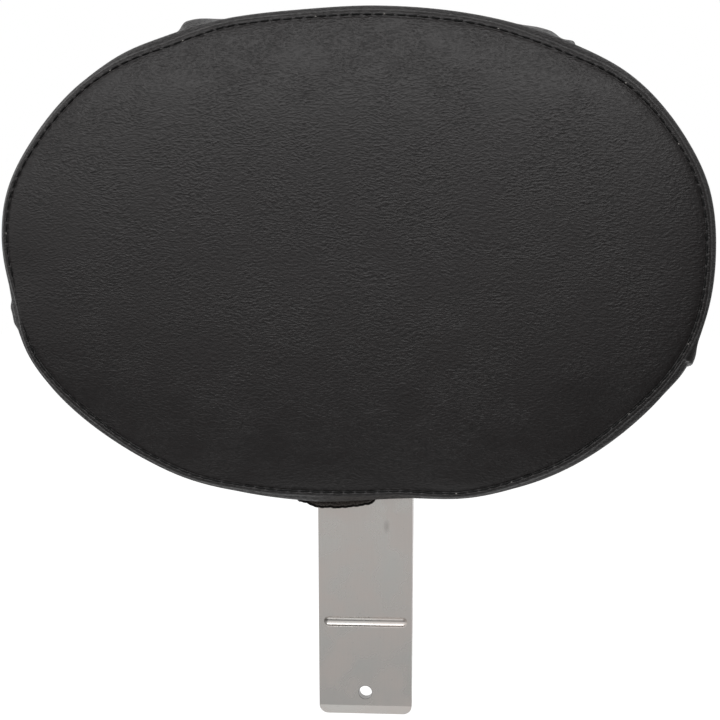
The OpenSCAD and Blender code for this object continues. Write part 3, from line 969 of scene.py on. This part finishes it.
class BACKREST_OT_seam_thread(bpy.types.Operator):
    """Lays the stitches in the seam, with a fleck of lint in a few needle holes"""

    bl_idname = "backrest.seam_thread"
    bl_label = "Seam thread"

    def execute(self, context):
        pad, seam = settings("pad"), settings("seam")
        chance = np.random.default_rng(7)
        turns, counts = seam_run()
        stitches = round(counts[-1])
        stitch = self.bead("stitch", seam.stitch, seam.thread, dive=0.25 * MM)
        fleck = self.bead("fleck", 0.75 * MM, 0.42 * MM, dive=0.0)
        dress(stitch, thread_material())
        dress(fleck, lint_material())
        copies = []
        for number in range(stitches):
            stretch = THREAD_STRETCH * seam_valley(np.interp(number, counts, turns))
            places = [(stitch, number, chance.uniform(0.86, 1.0) + stretch, THREAD_PROUD)]
            if chance.random() < LINT_SHARE:
                places.append((fleck, number + 0.5, 1.0, THREAD_PROUD + LINT_PROUD))
            for bead, count, size, proud in places:
                turn = np.interp(count, counts, turns)
                wobble = math.radians(chance.uniform(-3, 3))
                side = chance.uniform(-0.1, 0.1) * MM
                depth = pad.seam_y + THREAD_SUNK * seam_valley(turn) - proud
                copies.append(self.lay(bead, turn, size, wobble, side, depth))
        for bead in (stitch, fleck):
            bpy.data.objects.remove(bead)
        select_only(*copies)
        bpy.ops.object.join()
        thread = bpy.context.active_object
        thread.name = thread.data.name = "seam_thread"
        finish_piece(thread, "nylon")
        return {"FINISHED"}

    def bead(self, name, length, thick, dive):
        """A capsule along X whose ends dive into the needle holes."""
        bpy.ops.object.select_all(action="DESELECT")
        bpy.ops.mesh.primitive_uv_sphere_add(segments=10, ring_count=10, radius=0.5)
        bead = bpy.context.active_object
        bead.name = name
        turned = {"value": math.pi / 2, "orient_axis": "Y", "center_override": (0, 0, 0)}
        edit(bead, lambda: bpy.ops.transform.rotate(**turned))
        shape = points(bead)
        along = 2 * shape[:, 0]
        shape[:, 0] = length / 2 * np.sign(along) * np.abs(along) ** 0.8
        shape[:, 1:] *= thick * (1.0 + 0.35 * along[:, None] ** 2)
        shape[:, 1] += dive * along**2
        put(bead, shape)
        return bead

    def lay(self, bead, turn, size, wobble, side, depth):
        """A copy of a bead along the seam at a turn."""
        inset = settings("pad").seam_inset + side
        ends = [on_ring(at, seam_reach(at, inset), depth) for at in (turn - 5e-4, turn + 5e-4)]
        first, last = np.array(ends, dtype=float)
        angle = math.atan2(last[2] - first[2], last[0] - first[0]) + wobble
        copy = duplicate(bead)
        co = points(bead) * [size, 1, 1]
        cos, sin = math.cos(angle), math.sin(angle)
        spun = np.column_stack([co[:, 0] * cos - co[:, 2] * sin, co[:, 1], co[:, 0] * sin + co[:, 2] * cos])
        put(copy, spun + (first + last) / 2)
        return copy


class BACKREST_OT_blade(bpy.types.Operator):
    """Eases the blade's edges and plates it"""

    bl_idname = "backrest.blade"
    bl_label = "Blade"

    def execute(self, context):
        blade = duplicate(frame["nodes"]["blade"])
        blade.name = blade.data.name = "blade_plated"
        blade.parent = None
        edit(blade, join_points, lambda: bpy.ops.mesh.dissolve_limited(angle_limit=math.radians(0.5)))
        apply(
            blade, "BEVEL", width=settings("blade").edge, segments=3, limit_method="ANGLE",
            angle_limit=math.radians(40), harden_normals=False,
        )
        dress(blade, blade_material())
        finish_piece(blade, "bright_steel", "blade")
        bpy.ops.object.shade_smooth_by_angle(angle=math.radians(20))
        apply(blade, "WEIGHTED_NORMAL", mode="FACE_AREA", weight=100, keep_sharp=True)
        return {"FINISHED"}


class BACKREST_OT_rear_cover(bpy.types.Operator):
    """Covers the rear panel"""

    bl_idname = "backrest.rear_cover"
    bl_label = "Rear cover"

    def execute(self, context):
        cover = wrap(strip("rear_cover_vinyl", around=256, across=48), rear_place)
        ahead = np.array([middle_x(), -100 * MM, settings("pad").widest_z])
        face_outwards(cover, lambda middles: middles - ahead)
        dress(cover, vinyl_material("rear_vinyl"), raw_edge_material())
        thicken(cover, settings("pad").vinyl)
        finish_piece(cover, "vinyl", "rear_panel_cover")
        return {"FINISHED"}


class BACKREST_OT_foam(bpy.types.Operator):
    """Moulds the foam under the cover"""

    bl_idname = "backrest.foam"
    bl_label = "Foam"

    def execute(self, context):
        foam = wrap(strip("foam_block", around=128, across=40), foam_place)
        dress(foam, foam_material())
        finish_piece(foam, "foam", "foam_pad")
        return {"FINISHED"}


class BACKREST_OT_hidden_parts(bpy.types.Operator):
    """Finishes the boards and fasteners inside"""

    bl_idname = "backrest.hidden_parts"
    bl_label = "Boards and fasteners"

    def execute(self, context):
        finish = settings("finish")
        kinds = {
            "plywood": wood_material("plywood", finish.plywood, ply=1.5 * MM),
            "hardboard": wood_material("hardboard", finish.hardboard),
            "zinc": steel_material("zinc_plate", finish.zinc, rough=0.38)[0],
            "nylon": nylon_material(),
        }
        slots = {part["node"]: part["material_slot"] for part in frame["record"]["subparts"]}
        for name, node in frame["nodes"].items():
            if slots[name] in kinds:
                dress(node, kinds[slots[name]])
        return {"FINISHED"}


class BACKREST_OT_stage(bpy.types.Operator):
    """Sets the floor, the lights and the camera"""

    bl_idname = "backrest.stage"
    bl_label = "Stage"

    def execute(self, context):
        stage = settings("stage")
        self.set_floor(stage)
        self.set_world(stage)
        self.set_key(stage)
        self.set_camera(stage)
        context.scene.view_settings.view_transform = "Standard"
        return {"FINISHED"}

    def set_floor(self, stage):
        """A wide white floor for the camera. Reflections look past it into the darker room below."""
        bpy.ops.object.select_all(action="DESELECT")
        bpy.ops.mesh.primitive_plane_add(size=14, location=(0, 0, stage.floor_z))
        floor = bpy.context.active_object
        floor.name = "floor"
        material = bpy.data.materials.new("white_floor")
        build = empty_tree(material)
        matt = build.add("ShaderNodeBsdfDiffuse", {"Color": (0.8, 0.8, 0.8, 1)})
        glow = build.add("ShaderNodeEmission", {"Strength": stage.floor_glow})
        white = build.add("ShaderNodeAddShader", {0: matt.outputs[0], 1: glow.outputs[0]})
        clear = build.add("ShaderNodeBsdfTransparent")
        path = build.add("ShaderNodeLightPath")
        sides = {0: path.outputs["Is Camera Ray"], 1: clear.outputs[0], 2: white.outputs[0]}
        both = build.add("ShaderNodeMixShader", sides)
        build.add("ShaderNodeOutputMaterial", {"Surface": both.outputs[0]})
        floor.data.materials.append(material)

    def set_world(self, stage):
        """A room with light upper walls and dark lower ones. The camera sees it white."""
        world = bpy.data.worlds.new("room")
        bpy.context.scene.world = world
        build = empty_tree(world)
        way = build.add("ShaderNodeTexCoord").outputs["Generated"]
        x, y, z = build.add("ShaderNodeSeparateXYZ", {0: way}).outputs
        walls = build.ramp(z, *WALLS_RISE, stage.ground, stage.ceiling)
        walls = build.math("MULTIPLY", walls, build.ramp(z, *CEILING_FADE, 1.0, CEILING_REST))
        low = build.ramp(z, *FLOOR_FADE, stage.floor_light, 0.0)
        behind = build.ramp(y, *BACKDROP_RISE, 0.0, stage.backdrop)
        room = build.math("MAXIMUM", build.math("ADD", walls, low), behind)
        room = build.math("MULTIPLY", room, build.ramp(x, *RIGHT_FADE, 1.0, RIGHT_REST))
        path = build.add("ShaderNodeLightPath")
        strength = build.math("MAXIMUM", room, path.outputs["Is Camera Ray"])
        light = build.add("ShaderNodeBackground", {"Color": (1, 1, 1, 1), "Strength": strength})
        build.add("ShaderNodeOutputWorld", {"Surface": light.outputs[0]})

    def set_key(self, stage):
        """A wide soft light overhead in front, and a small one below that catches the bevels."""
        self.add_light("overhead", (0.0, -0.9, 1.15), (0, 0, 0.2), (2.2, 0.8), stage.key)
        self.add_light("low_card", (-0.01, -0.125, -0.1), (0, 0, 0.045), (0.09, 0.07), stage.card)

    def add_light(self, name, place, target, size, power):
        """A rectangular light that looks at a point."""
        light = bpy.data.lights.new(name, "AREA")
        light.shape = "RECTANGLE"
        light.size, light.size_y = size
        light.energy = power
        lamp = bpy.data.objects.new(name, light)
        bpy.context.collection.objects.link(lamp)
        lamp.location = place
        lamp.rotation_euler = (Vector(target) - lamp.location).to_track_quat("-Z", "Y").to_euler()

    def set_camera(self, stage):
        """The camera at the photograph's viewing angle."""
        flat = math.cos(stage.elevation)
        right, front = math.sin(stage.azimuth) * flat, -math.cos(stage.azimuth) * flat
        back = Vector((right, front, math.sin(stage.elevation)))
        data = bpy.data.cameras.new("view")
        data.lens = stage.lens
        data.sensor_width = 36
        camera = bpy.data.objects.new("view", data)
        bpy.context.collection.objects.link(camera)
        camera.location = Vector(stage.target) + back * stage.distance
        camera.rotation_euler = (-back).to_track_quat("-Z", "Y").to_euler()
        bpy.context.scene.camera = camera


class BACKREST_PT_sidebar(bpy.types.Panel):
    """Lists the backrest's pieces"""

    bl_label = "Driver backrest"
    bl_space_type = "VIEW_3D"
    bl_region_type = "UI"
    bl_category = "Backrest"

    def draw(self, context):
        for operator in OPERATORS:
            self.layout.operator(operator.bl_idname)


SIZES = {"pad": PadSizes, "seam": SeamSizes, "blade": BladeSizes, "finish": Finishes, "stage": StageSizes}
OPERATORS = (
    BACKREST_OT_stage,
    BACKREST_OT_front_cover,
    BACKREST_OT_side_band,
    BACKREST_OT_raw_flap,
    BACKREST_OT_seam_thread,
    BACKREST_OT_blade,
    BACKREST_OT_rear_cover,
    BACKREST_OT_foam,
    BACKREST_OT_hidden_parts,
)


def register():
    """Adds the classes and the scene's groups of sizes."""
    for item in (*SIZES.values(), *OPERATORS, BACKREST_PT_sidebar):
        bpy.utils.register_class(item)
    for name, sizes in SIZES.items():
        setattr(bpy.types.Scene, "backrest_" + name, bpy.props.PointerProperty(type=sizes))


def unregister():
    """Takes them away again."""
    for name in SIZES:
        delattr(bpy.types.Scene, "backrest_" + name)
    for item in reversed((*SIZES.values(), *OPERATORS, BACKREST_PT_sidebar)):
        bpy.utils.unregister_class(item)


def main():
    """Makes every piece."""
    register()
    for operator in OPERATORS:
        getattr(bpy.ops.backrest, operator.bl_idname.split(".")[1])()


if __name__ == "__main__":
    main()
